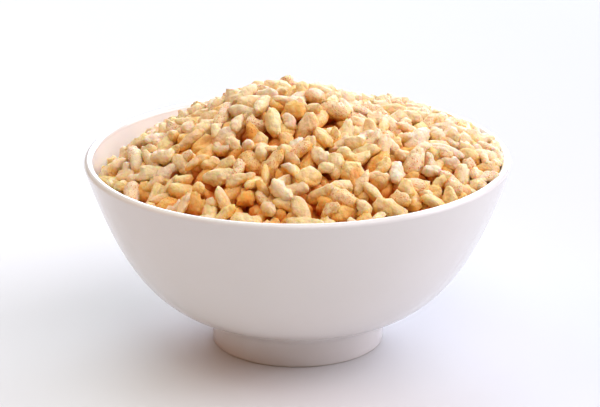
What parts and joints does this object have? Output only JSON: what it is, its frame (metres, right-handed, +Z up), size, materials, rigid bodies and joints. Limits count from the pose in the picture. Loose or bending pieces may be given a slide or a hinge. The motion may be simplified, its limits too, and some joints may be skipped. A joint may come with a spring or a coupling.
{
  "type": "puffed rice cereal",
  "caption": "Small round bowl on a foot ring, heaped above its rim with crisp, oblong puffed rice grains.",
  "frame": {"origin": "on the table under the middle of the bowl's foot", "axes": "+Z up; the bowl is round, the lower edge of the heap lies towards -X and the higher towards +X"},
  "size_m": [0.115, 0.115, 0.072],
  "materials": {
    "porcelain": "gloss",
    "puffed_rice": "matte"
  },
  "bodies": {
    "root": {"bowl": "porcelain", "cereal": "puffed_rice"}
  },
  "joints": []
}
